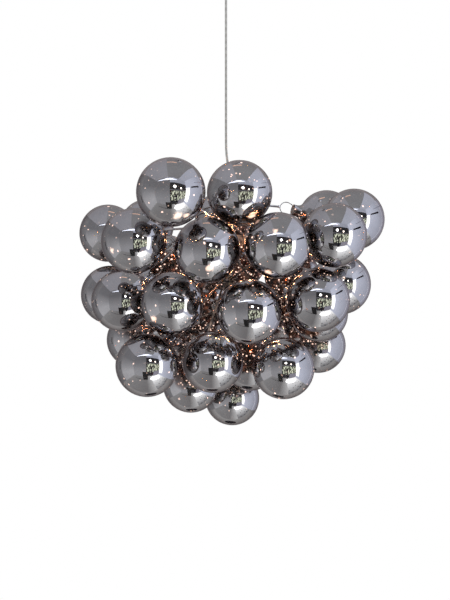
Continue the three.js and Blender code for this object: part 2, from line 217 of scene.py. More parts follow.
def copy_piece(piece, name, matrix):
    twin = piece.copy()
    twin.data = piece.data.copy()
    twin.data.transform(matrix)
    twin.name = name
    twin.data.name = name
    bpy.context.collection.objects.link(twin)
    return twin


def remove(piece):
    bpy.data.objects.remove(piece, do_unlink=True)


def paint(piece, *materials):
    piece.data.materials.clear()
    for material in materials:
        piece.data.materials.append(material)


def settle(piece, body, slot, *nodes):
    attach(piece, body)
    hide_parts(*nodes)


def finish_piece(piece, material, angle, body, slot, node):
    """Paints a piece in one material, smooths what bends less than the angle, and puts it in a node's place."""
    paint(piece, material)
    smooth(piece, angle)
    settle(piece, body, slot, node)


def edit_all(piece):
    """Enters edit mode with all vertices selected."""
    take_up(piece)
    bpy.ops.object.mode_set(mode="EDIT")
    bpy.ops.mesh.select_mode(type="VERT")
    bpy.ops.mesh.select_all(action="SELECT")


def select_where(piece, wanted):
    """Enters edit mode with just the vertices selected that the test wants."""
    edit_all(piece)
    bpy.ops.mesh.select_all(action="DESELECT")
    bpy.ops.object.mode_set(mode="OBJECT")
    for vertex in piece.data.vertices:
        vertex.select = wanted(vertex.co)
    bpy.ops.object.mode_set(mode="EDIT")


def leave_edit():
    """Turns all faces outwards and leaves edit mode."""
    bpy.ops.mesh.select_all(action="SELECT")
    bpy.ops.mesh.normals_make_consistent(inside=False)
    bpy.ops.object.mode_set(mode="OBJECT")


def extrude_rings(start, rings):
    """Extrudes the selected circle to each ring in turn. The circle and the rings are (radius, height)."""
    now_radius, now_height = start
    for radius, height in rings:
        radius = max(radius, NARROWEST_RING)
        bpy.ops.mesh.extrude_region_move(TRANSFORM_OT_translate={"value": (0, 0, height - now_height)})
        share = radius / now_radius
        bpy.ops.transform.resize(value=(share, share, 1), center_override=(0, 0, height))
        now_radius, now_height = radius, height


def drawn_ring(name, rings, sides=48, capped=True):
    """A round form about Z: a circle that is extruded ring by ring, each given as (radius, height)."""
    first, start = max(rings[0][0], NARROWEST_START), rings[0][1]
    deselect()
    bpy.ops.mesh.primitive_circle_add(vertices=sides, radius=first, location=(0, 0, start))
    piece = just_added(name)
    place_in_mesh(piece)
    edit_all(piece)
    extrude_rings((first, start), rings[1:])
    if rings[-1][0] == 0:
        bpy.ops.mesh.merge(type="CENTER")
    elif capped:
        bpy.ops.mesh.edge_face_add()
    if capped:
        def on_first(place):
            return abs(place.z - start) < SAME_POINT and abs(math.hypot(*place.xy) - first) < ON_RING
        select_where(piece, on_first)
        bpy.ops.mesh.edge_face_add()
    leave_edit()
    return piece


def closed_ring(name, rings, sides=48):
    """A round form about Z with a hole through it: the rings go up the inside and down the outside and meet."""
    piece = drawn_ring(name, rings + [rings[0]], sides, capped=False)
    edit_all(piece)
    bpy.ops.mesh.remove_doubles(threshold=SAME_POINT)
    leave_edit()
    return piece


def round_line(name, kind, points, radius, sides):
    """A closed round line along points, and the spline that it follows."""
    data = bpy.data.curves.new(name, "CURVE")
    data.dimensions = "3D"
    spline = data.splines.new(kind)
    spline.points.add(len(points) - 1)
    for point, place in zip(spline.points, points):
        point.co = (*place, 1)
    data.bevel_depth = radius
    data.bevel_resolution = sides // 4 - 1
    data.use_fill_caps = True
    line = bpy.data.objects.new(name, data)
    bpy.context.collection.objects.link(line)
    return line, spline


def bent_wire(name, points, radius, steps, sides=8):
    """A round wire along points, drawn as a smooth curve and made a mesh."""
    wire, spline = round_line(name, "NURBS", points, radius, sides)
    spline.order_u = 4
    spline.use_endpoint_u = True
    spline.resolution_u = steps
    take_up(wire)
    bpy.ops.object.convert(target="MESH")
    return just_added(name)


def straight_rod(name, start, end, radius, sides=16):
    """A rod between two points, with its ends' edges rounded."""
    start, end = Vector(start), Vector(end)
    along = end - start
    deselect()
    bpy.ops.mesh.primitive_cylinder_add(vertices=sides, radius=radius, depth=along.length)
    piece = just_added(name)
    bevel_edges(piece, radius * 0.25, 60)
    turn = Vector((0, 0, 1)).rotation_difference(along.normalized()).to_matrix().to_4x4()
    piece.data.transform(Matrix.Translation((start + end) / 2) @ turn)
    return piece


def block(name, low, high, bevel):
    """A box between two corners, with rounded edges."""
    low, high = Vector(low), Vector(high)
    deselect()
    bpy.ops.mesh.primitive_cube_add(size=1, location=(low + high) / 2)
    piece = just_added(name)
    piece.scale = high - low
    place_in_mesh(piece)
    bevel_edges(piece, bevel)
    return piece


def cut(piece, *tools):
    """Takes the tools' shapes out of the piece."""
    for tool in tools:
        boolean = piece.modifiers.new("cut", "BOOLEAN")
        boolean.operation = "DIFFERENCE"
        boolean.solver = "EXACT"
        boolean.object = tool
    apply_modifiers(piece)
    for tool in tools:
        remove(tool)


# Materials

class NodeTree:
    """A node tree, with short ways to add nodes to it. What they hand on to each other are outputs."""

    def __init__(self, tree):
        self.nodes, self.links = tree.nodes, tree.links

    def feed(self, socket, value):
        """Links an output to a socket, or sets a constant on the socket."""
        if isinstance(value, bpy.types.NodeSocket):
            self.links.new(value, socket)
        else:
            socket.default_value = value

    def node(self, kind, inputs=(), **settings):
        """Adds a node, gives it its settings, and feeds its inputs, which are given by name or number."""
        node = self.nodes.new(kind)
        for name, value in settings.items():
            setattr(node, name, value)
        for name, value in dict(inputs).items():
            self.feed(node.inputs[name], value)
        return node

    def place(self):
        return self.node("ShaderNodeTexCoord").outputs["Object"]

    def noise(self, scale, detail=3, stretch=(1, 1, 1), distortion=0, **settings):
        mapping = self.node("ShaderNodeMapping", {"Vector": self.place(), "Scale": stretch})
        inputs = {"Vector": mapping.outputs["Vector"], "Scale": scale, "Detail": detail, "Distortion": distortion}
        return self.node("ShaderNodeTexNoise", inputs, **settings).outputs["Fac"]

    def pulled(self, scale, distance):
        """The place, pulled about by noise by up to the distance along each axis."""
        pull = self.node("ShaderNodeTexNoise", {"Vector": self.place(), "Scale": scale})
        small = self.node("ShaderNodeVectorMath", {0: pull.outputs["Color"], "Scale": distance}, operation="SCALE")
        moved = self.node("ShaderNodeVectorMath", {0: self.place(), 1: small.outputs["Vector"]}, operation="ADD")
        return moved.outputs["Vector"]

    def away_from(self, centre, place):
        return self.node("ShaderNodeVectorMath", {0: place, 1: centre}, operation="DISTANCE").outputs["Value"]

    def ramp(self, source, low, high, start=0.3, end=0.7):
        """A colour or value that runs from low to high with the source."""
        step = self.node("ShaderNodeValToRGB", {"Fac": source})
        for element, position, shade in zip(step.color_ramp.elements, (start, end), (low, high)):
            element.position = position
            element.color = (*shade, 1) if isinstance(shade, tuple) else (shade, shade, shade, 1)
        return step.outputs["Color"]

    def glow(self, mask, colour):
        """A light of one colour where the mask is 1, and none where it is 0."""
        return self.ramp(mask, (0, 0, 0), colour, 0.0, 1.0)

    def share_of_way(self, source, start, end, run="LINEAR"):
        """How far the source is on its way from start to end, from 0 to 1."""
        inputs = {"Value": source, "From Min": start, "From Max": end}
        return self.node("ShaderNodeMapRange", inputs, interpolation_type=run).outputs["Result"]

    def mask(self, source, start, end):
        """A mask that rises softly from 0 at start to 1 at end."""
        return self.share_of_way(source, start, end, "SMOOTHSTEP")

    def maths(self, operation, first, second):
        return self.node("ShaderNodeMath", {0: first, 1: second}, operation=operation).outputs[0]

    def product(self, first, *others):
        for other in others:
            first = self.maths("MULTIPLY", first, other)
        return first

    def mix(self, factor, first, second, blend_type="MIX"):
        inputs = {"Factor": factor, "A": first, "B": second}
        return self.node("ShaderNodeMix", inputs, data_type="RGBA", blend_type=blend_type).outputs["Result"]

    def bump(self, height, strength, distance):
        inputs = {"Height": height, "Strength": strength, "Distance": distance}
        return self.node("ShaderNodeBump", inputs).outputs["Normal"]

    def effect(self, name, inputs):
        """Places the node group of an effect, with its own values, and hands on its mask."""
        return self.node("ShaderNodeGroup", inputs, node_tree=bpy.data.node_groups[name]).outputs["Mask"]

    def worn(self, smear_scale, scratch_scale, low, high):
        """A roughness that runs from low to high where the surface is smeared and scratched."""
        marks = self.effect("handling_marks", {"Smear Scale": smear_scale, "Scratch Scale": scratch_scale})
        return self.ramp(marks, low, high, 0.0, 1.0)

    def glints(self, scale, size, rarity):
        """A mask of small painted glints, bright flecks pulled out of round, of which only some of the cells have
        one.
        """
        place = self.pulled(scale * 1.6, 0.5 / scale)
        cells = self.node("ShaderNodeTexVoronoi", {"Vector": place, "Scale": scale}).outputs
        near = self.share_of_way(cells["Distance"], size, size * 0.4)
        chance = self.share_of_way(cells["Color"], rarity, rarity + 0.3)
        return self.product(near, chance)

    def noted(self, name, start, end):
        """A mask from what note_neighbours stored on the glass."""
        return self.mask(self.node("ShaderNodeAttribute", attribute_name=name).outputs["Fac"], start, end)

    def painted_warm_mask(self):
        """A mask of what other balls face and close in round the bulbs, where the coat is painted with the warm
        light that the glass would mirror.
        """
        depth = self.node("ShaderNodeSeparateXYZ", {"Vector": self.place()}).outputs["Y"]
        between = self.product(self.mask(depth, -0.06, 0.01), self.mask(depth, 0.23, 0.17))
        close = self.effect("near_middle", {"Far": 0.25, "Close": 0.17})
        return self.product(self.noted("shelter", 0.05, 0.6), close, between)

    def painted_bulb_glows(self):
        """A mask of the painted glows where a bulb behind the glass would light it up."""
        place = self.pulled(150, GLOW_PULL)
        mean_pull = Vector((1, 1, 1)) * GLOW_PULL / 2
        lit = 0.0
        for centre, radius in PAINTED_BULB_GLOWS:
            away = self.away_from(Vector(centre) + mean_pull, place)
            lit = self.maths("MAXIMUM", lit, self.mask(away, radius, radius * 0.3))
        return lit


class Effect(NodeTree):
    """A node group with number inputs and a mask, for an effect that more than one material uses."""

    def __init__(self, name, inputs):
        group = bpy.data.node_groups.new(name, "ShaderNodeTree")
        for socket in inputs:
            group.interface.new_socket(socket, in_out="INPUT", socket_type="NodeSocketFloat")
        group.interface.new_socket("Mask", in_out="OUTPUT", socket_type="NodeSocketFloat")
        super().__init__(group)
        self.given = self.nodes.new("NodeGroupInput").outputs
        self.handed_on = self.nodes.new("NodeGroupOutput").inputs["Mask"]


class Finish(NodeTree):
    """A material's node tree, round its Principled shader."""

    def __init__(self, name):
        self.material = bpy.data.materials.new(name)
        self.material.use_nodes = True
        super().__init__(self.material.node_tree)

    def made_of(self, inputs):
        for name, value in inputs.items():
            self.feed(self.nodes["Principled BSDF"].inputs[name], value)
        return self.material


def handling_marks():
    """The effect of faint smears and fine scratches: a mask from 0 to 1 over the surface."""
    marks = Effect("handling_marks", ("Smear Scale", "Scratch Scale"))
    smear = marks.node("ShaderNodeTexNoise", {
        "Vector": marks.place(), "Scale": marks.given["Smear Scale"], "Detail": 4,
    })
    stretch = marks.node("ShaderNodeMapping", {
        "Vector": marks.place(), "Scale": (1, 1, 14), "Rotation": (0.4, 0.3, 0),
    })
    scratch = marks.node("ShaderNodeTexNoise", {
        "Vector": stretch.outputs["Vector"], "Scale": marks.given["Scratch Scale"], "Detail": 6,
    })
    smears = marks.ramp(smear.outputs["Fac"], 0.0, 1.0, 0.42, 0.66)
    scratches = marks.ramp(scratch.outputs["Fac"], 0.0, 1.0, 0.6, 0.72)
    marks.feed(marks.handed_on, marks.maths("MAXIMUM", smears, scratches))


def near_middle():
    """The effect of lying near the middle of the bunch: a mask that rises from 0 at Far to 1 at Close."""
    nearness = Effect("near_middle", ("Far", "Close"))
    away = nearness.away_from(BUNCH_MIDDLE, nearness.place())
    nearness.feed(nearness.handed_on, nearness.mask(away, nearness.given["Far"], nearness.given["Close"]))


def smoke_mirror():
    """The half-transparent smoke-grey coat on the outside of the glass, painted warm where the balls close in the
    bulbs, with painted shade, glints and glows.
    """
    coat = Finish("smoke_mirror")
    # inside is the mask of the painted warm reflection
    inside = coat.painted_warm_mask()
    grey = coat.ramp(coat.noise(26), (0.338, 0.335, 0.345), (0.404, 0.402, 0.415))
    # Painted shade: the grey turns dark grey where other balls stand close
    shaded = coat.mix(coat.noted("crowding", 0.2, 0.85), grey, (0.14, 0.136, 0.143, 1.0))
    # Painted reflection: a dark warm brown where the balls close in the bulbs
    painted_warm_reflection = coat.ramp(coat.noise(120, 4), (0.012, 0.007, 0.006), (0.22, 0.09, 0.056), 0.42, 0.68)
    relief = coat.maths("ADD", coat.noise(13, 1), coat.product(coat.noise(110), inside))
    slivers = coat.noise(75, distortion=0.6, noise_type="RIDGED_MULTIFRACTAL", normalize=True)
    # Painted reflection: copper streaks that glow where the balls close in the bulbs
    painted_copper_streaks = coat.product(coat.mask(slivers, 0.62, 0.86), inside)
    # Painted glints: small bright flecks that glow all over the coat, in clusters, and more densely where the balls
    # close in the bulbs
    clusters = coat.mask(coat.noise(17, 2), 0.47, 0.6)
    fine_glints = coat.product(coat.glints(118, 0.16, 0.36), clusters)
    outside_glints = coat.maths("MAXIMUM", coat.glints(66, 0.12, 0.4), fine_glints)
    inside_glints = coat.product(coat.glints(150, 0.28, 0.22), inside)
    painted_glints = coat.glow(coat.maths("MAXIMUM", outside_glints, inside_glints), (2.6, 1.75, 1.4))
    # Painted light: the glints and the bulbs' glows are emission on the coat, which is no lamp
    lights = coat.mix(1.0, painted_glints, coat.glow(coat.painted_bulb_glows(), (1.5, 1.0, 0.76)), "LIGHTEN")
    return coat.made_of({
        "Metallic": 1.0,
        "Specular Tint": (0.76, 0.68, 0.67, 1.0),
        "Base Color": coat.mix(inside, shaded, painted_warm_reflection),
        "Alpha": coat.ramp(coat.noise(60, 5), 0.84, 0.92),
        "Roughness": coat.worn(40, 260, 0.006, 0.03),
        "Normal": coat.bump(relief, 0.2, 0.006),
        "Emission Color": coat.mix(1.0, coat.glow(painted_copper_streaks, (1.0, 0.47, 0.31)), lights, "ADD"),
        "Emission Strength": 1.0,
    })


def copper_lining():
    """The inner face of the glass, where the same coat looks like thin copper."""
    lining = Finish("copper_lining")
    return lining.made_of({
        "Metallic": 1.0,
        "Base Color": lining.ramp(lining.noise(34, 4), (0.6, 0.33, 0.19), (0.74, 0.46, 0.3)),
        "Alpha": lining.ramp(lining.noise(48, 5), 0.28, 0.46),
        "Roughness": lining.worn(55, 320, 0.01, 0.05),
        "Normal": lining.bump(lining.noise(70, 2), 0.3, 0.003),
    })


def polished_chrome():
    """Plating, painted a dark warm brown near the bunch's middle to stand for its reflection of the warm and dark
    inside there.
    """
    metal = Finish("polished_chrome")
    bright = metal.ramp(metal.noise(90, 2), (0.72, 0.73, 0.75), (0.8, 0.81, 0.83))
    # Painted reflection and shade: the chrome turns dark warm brown near the bunch's middle
    painted_dark_chrome = metal.ramp(metal.noise(160), (0.07, 0.06, 0.056), (0.4, 0.29, 0.23), 0.42, 0.66)
    close = metal.effect("near_middle", {"Far": 0.22, "Close": 0.08})
    return metal.made_of({
        "Metallic": 1.0,
        "Base Color": metal.mix(close, bright, painted_dark_chrome),
        "Roughness": metal.worn(70, 420, 0.05, 0.16),
        "Normal": metal.bump(metal.noise(900, 2), 0.05, 0.0004),
    })


def zinc_plate():
    zinc = Finish("zinc_plate")
    flakes = zinc.node("ShaderNodeTexVoronoi", {"Vector": zinc.place(), "Scale": 160}).outputs
    return zinc.made_of({
        "Metallic": 1.0,
        "Base Color": zinc.ramp(flakes["Color"], (0.5, 0.51, 0.53), (0.7, 0.71, 0.72)),
        "Roughness": zinc.worn(90, 300, 0.34, 0.56),
        "Normal": zinc.bump(flakes["Distance"], 0.08, 0.0003),
    })


def unglazed_ceramic():
    ceramic = Finish("unglazed_ceramic")
    grain = ceramic.noise(700, 4)
    return ceramic.made_of({
        # Partly the ceramic's own mottled tone and partly painted shade: it is painted dark brown to stand for the
        # shaded, warm-lit middle of the bunch
        "Base Color": ceramic.ramp(ceramic.noise(190), (0.07, 0.046, 0.036), (0.36, 0.25, 0.19), 0.38, 0.66),
        "Roughness": ceramic.ramp(grain, 0.5, 0.75),
        "Normal": ceramic.bump(grain, 0.35, 0.0003),
    })


def moulded_nylon():
    nylon = Finish("moulded_nylon")
    return nylon.made_of({
        "Base Color": nylon.ramp(nylon.noise(240), (0.7, 0.7, 0.68), (0.8, 0.8, 0.78)),
        "Roughness": nylon.worn(120, 500, 0.36, 0.56),
        "Normal": nylon.bump(nylon.noise(1500, 2), 0.15, 0.0002),
    })


def cord_jacket():
    """A clear-grey jacket with the twisted cores showing faintly through it."""
    jacket = Finish("cord_jacket")
    turned = jacket.node("ShaderNodeMapping", {"Vector": jacket.place(), "Rotation": (0.35, 0, 0)})
    inputs = {"Vector": turned.outputs["Vector"], "Scale": 30, "Distortion": 0.6, "Detail": 1}
    cores = jacket.node("ShaderNodeTexWave", inputs, wave_type="BANDS", bands_direction="Z").outputs["Fac"]
    return jacket.made_of({
        "Base Color": jacket.ramp(cores, (0.34, 0.335, 0.32), (0.42, 0.415, 0.4), 0.2, 0.8),
        "Roughness": jacket.worn(150, 300, 0.18, 0.4),
        "Coat Weight": 0.6,
        "Coat Roughness": 0.1,
        "Normal": jacket.bump(cores, 0.12, 0.0003),
    })


def bulb_glass():
    glass = Finish("bulb_glass")
    streak = glass.noise(300, 3, (1, 1, 0.3))
    return glass.made_of({
        "Base Color": (1.0, 0.9, 0.78, 1),
        "Alpha": glass.ramp(streak, 0.16, 0.3),
        "Roughness": glass.ramp(streak, 0.02, 0.1),
        "Emission Color": glass.ramp(streak, (1.0, 0.5, 0.26), (1.0, 0.62, 0.36)),
        "Emission Strength": BULB_GLOW,
    })


def glowing_coil():
    coil = Finish("glowing_coil")
    return coil.made_of({
        "Base Color": (1.0, 0.6, 0.3, 1),
        "Roughness": 0.5,
        "Emission Color": coil.ramp(coil.noise(500, 2), (1.0, 0.36, 0.15), (1.0, 0.46, 0.21)),
        "Emission Strength": COIL_GLOW,
    })


def brass_pin():
    brass = Finish("brass_pin")
    return brass.made_of({
        "Metallic": 1.0,
        "Base Color": brass.ramp(brass.noise(600), (0.6, 0.46, 0.24), (0.76, 0.62, 0.36)),
        "Roughness": brass.worn(200, 500, 0.2, 0.42),
    })


def pale_floor():
    floor = Finish("pale_floor")
    return floor.made_of({
        "Base Color": floor.ramp(floor.noise(6), (0.8, 0.8, 0.79), (0.84, 0.84, 0.83)),
        "Roughness": 0.8,
    })


# Balls

def model_ball():
    """One blown ball about the origin, its neck up +Z: a sphere opened at its top and drawn into a lipped neck."""
    deselect()
    bpy.ops.mesh.primitive_uv_sphere_add(segments=64, ring_count=40, radius=BALL_RADIUS)
    piece = just_added("ball_pattern")
    select_where(piece, lambda place: place.z > BALL_RADIUS * 0.93)
    bpy.ops.mesh.delete(type="VERT")
    bpy.ops.object.mode_set(mode="OBJECT")
    top = max(vertex.co.z for vertex in piece.data.vertices)
    wide = max(math.hypot(*v.co.xy) for v in piece.data.vertices if v.co.z > top - ON_RING)
    select_where(piece, lambda place: place.z > top - ON_RING)
    extrude_rings((wide, top), (
        (wide * 0.86, 0.0484), (0.0142, 0.0501), (0.0124, 0.0520), (0.0110, 0.0545), (0.0103, 0.0575),
        (0.0100, 0.0610), (0.0099, 0.0642), (0.0101, 0.0653), (0.0101, 0.0660),
    ))
    leave_edit()
    wall = piece.modifiers.new("wall", "SOLIDIFY")
    wall.thickness = GLASS_WALL
    wall.offset = -1
    wall.material_offset = 1
    wall.material_offset_rim = 0
    wall.use_rim = True
    return piece


def tier_level(tier):
    return STEM_TOP.z - TIER_DEPTHS[tier - 1] * STEM_LENGTH


def root_towards(point, level):
    """Where an arm that goes to a point starts in the middle of its collar's wall."""
    bearing = math.atan2(point.y - STEM_TOP.y, point.x - STEM_TOP.x)
    middle = (COLLAR_BORE + COLLAR_RADIUS) / 2
    return Vector((STEM_TOP.x + middle * math.cos(bearing), STEM_TOP.y + middle * math.sin(bearing), level))


def ball_places():
    """Where each ball, its neck's line, its bow's end and its arm's root lie."""
    places = []
    for number, (tier, *share) in enumerate(BALLS, 1):
        neck = TURNED_NECKS.get(number)
        centre = CLUSTER_LEVEL + Vector(share) * BALL_RADIUS
        root = root_towards(centre, tier_level(tier))
        towards = (Vector(neck) if neck else root - centre).normalized()
        bow_end = centre + towards * (BALL_RADIUS + NECK_MOUTH + BOW_LENGTH)
        if neck:
            root = root_towards(bow_end, tier_level(tier))
        places.append({"tier": tier, "centre": centre, "towards": towards, "bow_end": bow_end, "root": root})
    return places


def note_neighbours(ball, centres):
    """Stores at each point of a ball how squarely and how closely other balls stand before it."""
    # The shelter masks the coat's painted warm reflection
    shelter = ball.data.attributes.new("shelter", "FLOAT", "POINT")
    # The crowding masks the coat's painted shade between balls
    crowding = ball.data.attributes.new("crowding", "FLOAT", "POINT")
    for vertex in ball.data.vertices:
        covered, crowded = 0.0, 0.0
        for centre in centres:
            away = centre - vertex.co
            facing = vertex.normal.dot(away)
            if facing > 0:
                beside = math.sqrt(max(away.length_squared - facing * facing, 0.0))
                squarely = max(SHELTER_REACH * BALL_RADIUS - beside, 0.0) / BALL_RADIUS
                gap = away.length - BALL_RADIUS
                covered = max(covered, squarely)
                crowded = max(crowded, squarely * (1.0 - gap / BALL_RADIUS))
        shelter.data[vertex.index].value = min(covered, 1.0)
        crowding.data[vertex.index].value = min(crowded, 1.0)


def turn_of(centre, towards, spin=0.0):
    """The matrix that sets +Z along a neck, at a ball's centre, with X where the bow spreads."""
    up = Vector((1, 0, 0)) if abs(towards.z) > 0.9 else Vector((0, 0, 1))
    side = (up - towards * up.dot(towards)).normalized()
    turn = Matrix((side, towards.cross(side), towards)).transposed().to_4x4()
    return Matrix.Translation(centre) @ turn @ Matrix.Rotation(spin, 4, "Z")


def make_balls(mirror, lining):
    pattern = model_ball()
    paint(pattern, mirror, lining)
    apply_modifiers(pattern)
    smooth(pattern, 60)
    places = ball_places()
    for index, place in enumerate(places):
        turn = turn_of(place["centre"], place["towards"], index * BALL_SPIN)
        ball = copy_piece(pattern, f"ball_{index + 1:02d}", turn)
        note_neighbours(ball, [other["centre"] for other in places if other is not place])
        settle(ball, "lamp", "mirror_glass", f"glass_ball_{index + 1:02d}")
    remove(pattern)


# Arms, bows and collars

def model_bow():
    """One spring-wire bow, drawn in a ball's own frame: two legs inside the neck and a loop beyond its mouth."""
    mouth = BALL_RADIUS + NECK_MOUTH
    shape = [
        (BOW_LEG, mouth - 0.012), (BOW_LEG, mouth - 0.006), (BOW_LEG, mouth), (BOW_SPREAD * 0.84, mouth + 0.005),
        (BOW_SPREAD, mouth + 0.010), (BOW_SPREAD * 0.98, mouth + 0.016), (BOW_SPREAD * 0.66, mouth + 0.022),
        (0, mouth + BOW_LENGTH + 0.0006),
    ]
    back = [(-across, along) for across, along in reversed(shape[:-1])]
    points = [(across, 0, along) for across, along in shape + back]
    return bent_wire("bow_pattern", points, WIRE_RADIUS, 5)


def model_collar(tier):
    """A grooved collar on the stem at a tier's level."""
    level = tier_level(tier)
    foot, top = level - COLLAR_HEIGHT / 2, level + COLLAR_HEIGHT / 2
    collar = closed_ring(f"collar_{tier}", [
        (COLLAR_BORE, foot), (COLLAR_BORE, top), (COLLAR_RADIUS - 0.001, top), (COLLAR_RADIUS, top - 0.001),
        (COLLAR_RADIUS, level + 0.0012), (COLLAR_RADIUS - 0.0008, level), (COLLAR_RADIUS, level - 0.0012),
        (COLLAR_RADIUS, foot + 0.001), (COLLAR_RADIUS - 0.001, foot),
    ])
    collar.data.transform(Matrix.Translation((STEM_TOP.x, STEM_TOP.y, 0)))
    return collar


def make_tiers(chrome):
    bow_pattern = model_bow()
    paint(bow_pattern, chrome)
    for tier in range(1, len(TIER_DEPTHS) + 1):
        parts = [model_collar(tier)]
        for place in ball_places():
            if place["tier"] != tier:
                continue
            root, bow_end = place["root"], place["bow_end"]
            end = (bow_end - root).normalized() * ARM_END
            parts += [
                straight_rod("arm", root, bow_end, ARM_RADIUS),
                straight_rod("arm_foot", root, root + end, ARM_RADIUS * 1.5),
                straight_rod("arm_tip", bow_end - end, bow_end, ARM_RADIUS * 1.25),
                copy_piece(bow_pattern, "bow", turn_of(place["centre"], place["towards"])),
            ]
        finish_piece(join_into(f"arms_{tier}", parts), chrome, 40, "lamp", "chrome", f"arm_tier_{tier}")
    remove(bow_pattern)


# Stem and bulbs

def make_stem(chrome):
    foot = -STEM_LENGTH
    stem = drawn_ring("stem", [
        (0, foot + 0.003), (0.0055, foot + 0.003), (0.0055, -0.0004), (0.0059, 0.0), (0.0076, 0.0),
        (0.0080, -0.0004), (0.0080, -0.012), (0.0077, -0.0124), (0.0077, -0.0134), (0.0080, -0.0138),
        (0.0080, foot + 0.001), (0.0072, foot), (0, foot),
    ])
    stem.data.transform(Matrix.Translation(STEM_TOP))
    tools = []
    for depth, bearing in BULBS:
        turn = math.radians(bearing)
        start = STEM_TOP + Vector((0, 0, -depth * STEM_LENGTH))
        end = start + Vector((math.cos(turn), math.sin(turn), 0)) * 0.010
        tools.append(straight_rod("lead_hole", start, end, 0.0022))
    cut(stem, *tools)
    finish_piece(stem, chrome, 35, "lamp", "chrome", "stem_tube")


def make_lower_grip(chrome):
    grip = drawn_ring("cord_cap", [
        (0, -0.0063), (0.0052, -0.0063), (0.0052, 0.0003), (0.0086, 0.0003), (0.0090, 0.0008),
        (0.0090, 0.0040), (0.0086, 0.0045), (0.0080, 0.0062), (0.0068, 0.0100), (0.0056, 0.0140),
        (0.0046, 0.0180), (0.0038, 0.0212), (0.0034, 0.0221), (0.0030, 0.0223), (0, 0.0223),
    ])
    grip.data.transform(Matrix.Translation(STEM_TOP))
    finish_piece(grip, chrome, 35, "ceiling", "chrome", "lower_cord_grip")


def model_holder():
    """One ceramic bulb holder about the origin, facing +X, its back hollowed to fit the stem."""
    holder = block("holder_pattern", (0.0076, -0.007, -0.008), (0.030, 0.007, 0.008), 0.0012)
    tools = [straight_rod("seat", (0, 0, -0.010), (0, 0, 0.010), 0.0083, 48)]
    for side in (-PIN_SIDE, PIN_SIDE):
        tools.append(straight_rod("pin_hole", (0.0237, side, 0), (0.0316, side, 0), 0.0012))
    for level in (-0.0058, 0.0058):
        for right, left in ((-0.009, -0.0062), (0.0062, 0.009)):
            low, high = (0.014, right, level - 0.0006), (0.026, left, level + 0.0006)
            tools.append(block("side_slot", low, high, 0.0002))
    cut(holder, *tools)
    return holder


def model_coil():
    """A coil of bright wire along X."""
    points = []
    for step in range(COIL_TURNS * 8 + 1):
        angle = step / 8 * 2 * math.pi
        along = BULB_START + 0.018 + 0.020 * step / (COIL_TURNS * 8)
        points.append((along, COIL_RADIUS * math.cos(angle), COIL_RADIUS * math.sin(angle)))
    return bent_wire("coil", points, 0.0005, 1)


def model_bulb(ceramic, glass, heat, brass):
    """One pin bulb about the origin, along +X: a capsule of glass, its coil, its pinched base and two pins."""
    along_x = Matrix.Rotation(math.radians(90), 4, "Y")
    parts = []
    for name, material, rings in (
        ("capsule", glass, (
            (0.0060, 0.0090), (0.0070, 0.0098), (0.0084, 0.0115), (0.0089, 0.0140), (0.0090, 0.0200),
            (0.0090, 0.0400), (0.0084, 0.0433), (0.0072, 0.0458), (0.0052, 0.0476), (0.0028, 0.0486),
            (0.0012, 0.0489), (0, 0.0490),
        )),
        ("base", ceramic, ((0, 0), (0.0058, 0), (0.0063, 0.0006), (0.0064, 0.0080), (0.0062, 0.0088), (0, 0.0088))),
    ):
        part = drawn_ring(name, [(radius, BULB_START + height) for radius, height in rings], 32)
        part.data.transform(along_x)
        paint(part, material)
        parts.append(part)
    coil = model_coil()
    paint(coil, heat)
    wires = [straight_rod("pin", (0.0243, side, 0), (BULB_START + 0.002, side, 0), 0.0008)
             for side in (-PIN_SIDE, PIN_SIDE)]
    for route in (
        ((0.0085, -0.003), (0.012, -0.003), (0.018, -COIL_RADIUS)),
        ((0.0085, 0.003), (0.030, 0.0042), (0.0385, COIL_RADIUS)),
    ):
        points = [(BULB_START + along, across, 0) for along, across in route]
        wires.append(bent_wire("stay", points, 0.0003, 3))
    for wire in wires:
        paint(wire, brass)
    bulb = join_into("bulb_pattern", parts + [coil] + wires)
    smooth(bulb, 40)
    return bulb


def make_bulbs_and_holders(ceramic, glass, heat, brass):
    holder_pattern = model_holder()
    paint(holder_pattern, ceramic)
    smooth(holder_pattern, 35)
    bulb_pattern = model_bulb(ceramic, glass, heat, brass)
    for number, (depth, bearing) in enumerate(BULBS, 1):
        place = Matrix.Translation(STEM_TOP + Vector((0, 0, -depth * STEM_LENGTH)))
        turn = place @ Matrix.Rotation(math.radians(bearing), 4, "Z")
        holder = copy_piece(holder_pattern, f"holder_{number}", turn)
        settle(holder, "lamp", "ceramic", f"bulb_holder_{number}")
        bulb = copy_piece(bulb_pattern, f"lit_bulb_{number}", turn)
        settle(bulb, f"bulb_{number}", "bulb_glass", f"bulb_{number}")
    remove(holder_pattern)
    remove(bulb_pattern)


# Cord

def make_cord(jacket, hanging_grip):
    """The hanging cord stays a curve. It moves with the ceiling, as the grip at its upper end does. The grip handed
    in is not used.
    """
    cord, spline = round_line("cord", "POLY", CORD_ROUTE, CORD_RADIUS, 24)
    spline.use_smooth = True
    cord.data.materials.append(jacket)
    settle(cord, "ceiling", "cord", "suspension_cord")


# Ceiling fitting

